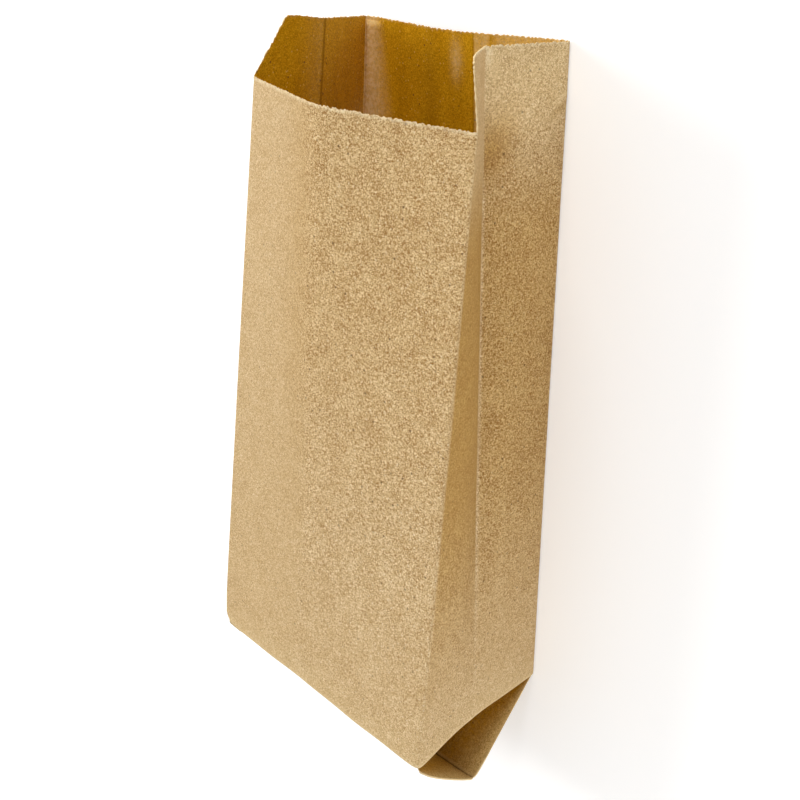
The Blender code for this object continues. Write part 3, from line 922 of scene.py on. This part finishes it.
def kraft(name, tones, reach, glints, streak, washes, roughness, gloss, relief):
    """Unbleached kraft paper: short wood fibres pressed to a matte sheet, which gives the eye
    a grain of about 0.6 mm, pale glints of fibre, a few dark specks of bark and soft streaks
    along the web. The washes paint its shades over that, painted light and shade among them,
    some of them in patches."""
    material = bpy.data.materials.new(name)
    material.use_nodes = True
    tree = material.node_tree
    shader = tree.nodes["Principled BSDF"]
    at = add(tree, "ShaderNodeTexCoord").outputs["Object"]
    grain = add(tree, "ShaderNodeTexNoise", {"Vector": at, "Scale": 1 / GRAIN_SIZE, "Detail": 1.0,
                                             "Roughness": 0.6, "Distortion": 1.2})
    cloud = add(tree, "ShaderNodeTexNoise", {"Vector": at, "Scale": 1 / CLOUD_SIZE, "Detail": 3.0})
    along = add(tree, "ShaderNodeMapping", {"Vector": at, "Scale": (1.0, WEB_STRETCH, 1.0)})
    web = add(tree, "ShaderNodeTexNoise", {"Vector": along.outputs[0], "Scale": 1 / WEB_SIZE,
                                           "Detail": 2.0})
    soft = add(tree, "ShaderNodeMath", {0: cloud.outputs["Fac"], 1: CLOUD_SHARE},
               operation="MULTIPLY")
    drawn = add(tree, "ShaderNodeMath", {0: web.outputs["Fac"], 1: streak, 2: soft.outputs[0]},
                operation="MULTIPLY_ADD")
    tone = add(tree, "ShaderNodeMath", {0: grain.outputs["Fac"], 1: drawn.outputs[0]},
               operation="ADD")
    middle = (1 + CLOUD_SHARE + streak) / 2
    levels = middle - reach, middle, middle + reach
    stops = [(level, linear(colour)) for level, colour in zip(levels, tones)]
    flat = add(tree, "ShaderNodeValToRGB", {"Fac": tone.outputs[0]}, stops=stops).outputs[0]
    for colour, (spacing, bare, core, rim) in ((glints, GLINTS), (BARK_BROWN, BARK)):
        cell = add(tree, "ShaderNodeTexVoronoi", {"Vector": at, "Scale": 1 / spacing})
        near = add(tree, "ShaderNodeMapRange", {
            "Value": cell.outputs["Distance"], "From Min": core, "From Max": rim,
            "To Min": SPECK_TONE, "To Max": 0.0})
        chance = add(tree, "ShaderNodeSeparateColor", {"Color": cell.outputs["Color"]}).outputs[0]
        chosen = add(tree, "ShaderNodeMath", {0: chance, 1: bare}, operation="GREATER_THAN")
        weight = add(tree, "ShaderNodeMath", {0: near.outputs[0], 1: chosen.outputs[0]},
                     operation="MULTIPLY")
        flat = add(tree, "ShaderNodeMix", {0: weight.outputs[0], 6: flat, 7: linear(colour)},
                   data_type="RGBA").outputs[2]
    patch = add(tree, "ShaderNodeTexNoise", {"Vector": at, "Scale": 1 / PATCH_SIZE, "Detail": 2.0})
    for shade, colour, strength, mixing, patchy in washes:
        value = add(tree, "ShaderNodeAttribute", attribute_name=shade).outputs["Fac"]
        # The patch noise makes each wash patchy, painted light and shade too
        patched_strength = add(tree, "ShaderNodeMapRange", {
            "Value": patch.outputs["Fac"], "From Min": PATCH_EDGES[0], "From Max": PATCH_EDGES[1],
            "To Min": strength * (1 - patchy), "To Max": strength})
        weight = add(tree, "ShaderNodeMath", {0: value, 1: patched_strength.outputs[0]}, operation="MULTIPLY",
                     use_clamp=True)
        flat = add(tree, "ShaderNodeMix", {0: weight.outputs[0], 6: flat, 7: linear(colour)},
                   data_type="RGBA", blend_type=mixing).outputs[2]
    tree.links.new(flat, shader.inputs["Base Color"])
    raised = add(tree, "ShaderNodeBump", {"Strength": relief, "Distance": GRAIN_RELIEF,
                                          "Height": grain.outputs["Fac"]})
    tree.links.new(raised.outputs[0], shader.inputs["Normal"])
    shader.inputs["Roughness"].default_value = roughness
    shader.inputs["Specular IOR Level"].default_value = gloss
    return material


def torn_edge(name, colour, roughness):
    """A cut rim of loose fibres: matte, paler than the paper and too thin for a pattern."""
    material = bpy.data.materials.new(name)
    material.use_nodes = True
    shader = material.node_tree.nodes["Principled BSDF"]
    shader.inputs["Base Color"].default_value = linear(colour)
    shader.inputs["Roughness"].default_value = roughness
    return material


PALE_FIBRE = "#F6E6C4"
FRINGE = "#F3E0B8"

# The outside: dry, with a clear grain; its washes paint rubbing and torn fibres, and painted shade,
# shadow and highlights
outside = kraft("kraft_outside", ("#A57C48", "#D3B17D", "#F4DEB4"), 0.12, PALE_FIBRE, 0.03,
                (("calm", "#D2B17E", 0.45, "MIX", 0.0), ("painted_shade", "#E6D29C", 1.0, "MULTIPLY", 0.0),
                 ("painted_shadow", "#D8BE78", 1.0, "MULTIPLY", 0.1), ("fold", "#F2D8A2", 0.6, "MIX", 0.25),
                 ("edge", FRINGE, 0.95, "MIX", 0.7)), roughness=0.85, gloss=0.25, relief=1.0)
# The pockets' walls: smoother, and a greyer, darker copy of the outside as painted shade, deeper
# where light reaches them only from the paper
pocket = kraft("kraft_pocket_shaded", ("#9C7E46", "#C2A268", "#DCBE86"), 0.2, "#D9BC86", 0.08,
               (("painted_depth_shade", "#DABC48", 1.0, "MULTIPLY", 0.15), ("dark_mark_and_shade", "#3A2408", 0.9, "MIX", 0.1),
                ("fold", "#D8BC88", 0.6, "MIX", 0.3)), roughness=0.88, gloss=0.15, relief=0.35)
# The inside: painted golden and darker to stand in for light that goes from wall to wall, with
# streaks along the web
inside = kraft("kraft_inside_shaded", ("#A27002", "#C88E06", "#E2AC22"), 0.2, "#E4B858", 0.2,
               (("lap", "#FADCA4", 0.85, "MIX", 0.4), ("dark_mark_and_shade", "#6A3C00", 0.75, "MIX", 0.1),
                ("edge", FRINGE, 0.25, "MIX", 0.85)), roughness=0.9, gloss=0.05, relief=0.3)
# The cut rim: loose fibres that catch the light
torn = torn_edge("torn_fibres", "#E6CC98", 0.95)

sheet, rim = bag_sheet()
papers = [outside, inside, pocket, outside, torn, outside, torn]
sheet_object("bag_sheet", sheet, papers, PAPER, SHEET_RIM)
for name, grid, cover in (("side_lap", side_lap(), inside),
                          ("closing_flap", closing_flap(rim), outside)):
    sheet_object(name, weld([grid], [SHEET_SLOT]), [cover] * 3, LAP_THICKNESS, LAP_RIM)


def white_for_the_eye(tree):
    """One where a ray comes from the camera, a mirror or glass, and nothing elsewhere."""
    path = add(tree, "ShaderNodeLightPath").outputs
    first = add(tree, "ShaderNodeMath", {0: path["Is Camera Ray"], 1: path["Is Glossy Ray"]},
                operation="MAXIMUM").outputs[0]
    return add(tree, "ShaderNodeMath", {0: first, 1: path["Is Transmission Ray"]},
               operation="MAXIMUM").outputs[0]


# Camera of the photograph, in the frame, with its lens and sensor in millimetres
CAMERA_PLACE = (0.332526, 0.175592, 0.32422)
CAMERA_RIGHT = (0.6492, 0.0138, -0.7605)
CAMERA_AHEAD = (-0.7062, -0.3604, -0.6094)
FOCAL_LENGTH = 51.73
SENSOR_WIDTH = 36.0
CLIP_START = 0.01

FLOOR_SIZE = 6.0
FLOOR_COLOUR = (0.86, 0.86, 0.86, 1.0)
FLOOR_GLOW = 0.3
DOME_STRENGTH = 0.69

# Lamps that face the bag: name, place, diameter in metres, watts
LAMPS = (("key_lamp", (-1.10, 0.30, 0.98), 0.9, 12.5),
         ("mouth_lamp", (0.16, 1.18, 0.44), 0.6, 7.6),
         ("low_lamp", (0.60, -0.62, 0.22), 0.3, 2.4))


def studio():
    """A pale floor, a soft dome and three lamps that face the bag."""
    bpy.ops.mesh.primitive_plane_add(size=FLOOR_SIZE)
    floor = bpy.context.object
    floor.name = "studio_floor"
    cover = bpy.data.materials.new("studio_floor")
    cover.use_nodes = True
    tree = cover.node_tree
    tree.nodes.clear()
    diffuse = add(tree, "ShaderNodeBsdfDiffuse", {"Color": FLOOR_COLOUR})
    glow = add(tree, "ShaderNodeMath", {0: white_for_the_eye(tree), 1: FLOOR_GLOW},
               operation="MULTIPLY")
    light = add(tree, "ShaderNodeEmission", {"Strength": glow.outputs[0]})
    both = add(tree, "ShaderNodeAddShader", {0: diffuse.outputs[0], 1: light.outputs[0]})
    add(tree, "ShaderNodeOutputMaterial", {"Surface": both.outputs[0]})
    floor.data.materials.append(cover)
    world = bpy.data.worlds.new("studio")
    bpy.context.scene.world = world
    world.use_nodes = True
    tree = world.node_tree
    tree.nodes.clear()
    strength = add(tree, "ShaderNodeMapRange", {"Value": white_for_the_eye(tree),
                                                "To Min": DOME_STRENGTH, "To Max": 1.0})
    sky = add(tree, "ShaderNodeBackground", {"Strength": strength.outputs[0]})
    add(tree, "ShaderNodeOutputWorld", {"Surface": sky.outputs[0]})
    for name, place, size, power in LAMPS:
        lamp = bpy.data.lights.new(name, "AREA")
        lamp.shape, lamp.size, lamp.energy = "DISK", size, power
        item = bpy.data.objects.new(name, lamp)
        item.visible_camera = False
        bpy.context.scene.collection.objects.link(item)
        turn = Vector(place).to_track_quat("Z", "Y").to_matrix().to_4x4()
        item.matrix_world = Matrix.Translation(place) @ turn


def camera():
    """The camera of the photograph, which looks down on the bag and is rolled."""
    right, ahead = Vector(CAMERA_RIGHT).normalized(), Vector(CAMERA_AHEAD).normalized()
    up = right.cross(ahead).normalized()
    right = ahead.cross(up)
    data = bpy.data.cameras.new("camera")
    data.lens, data.sensor_width, data.clip_start = FOCAL_LENGTH, SENSOR_WIDTH, CLIP_START
    item = bpy.data.objects.new("camera", data)
    bpy.context.scene.collection.objects.link(item)
    turn = Matrix((right, up, -ahead)).transposed().to_4x4()
    item.matrix_world = Matrix.Translation(CAMERA_PLACE) @ turn
    bpy.context.scene.camera = item


studio()
camera()
bpy.context.scene.view_settings.view_transform = "Standard"
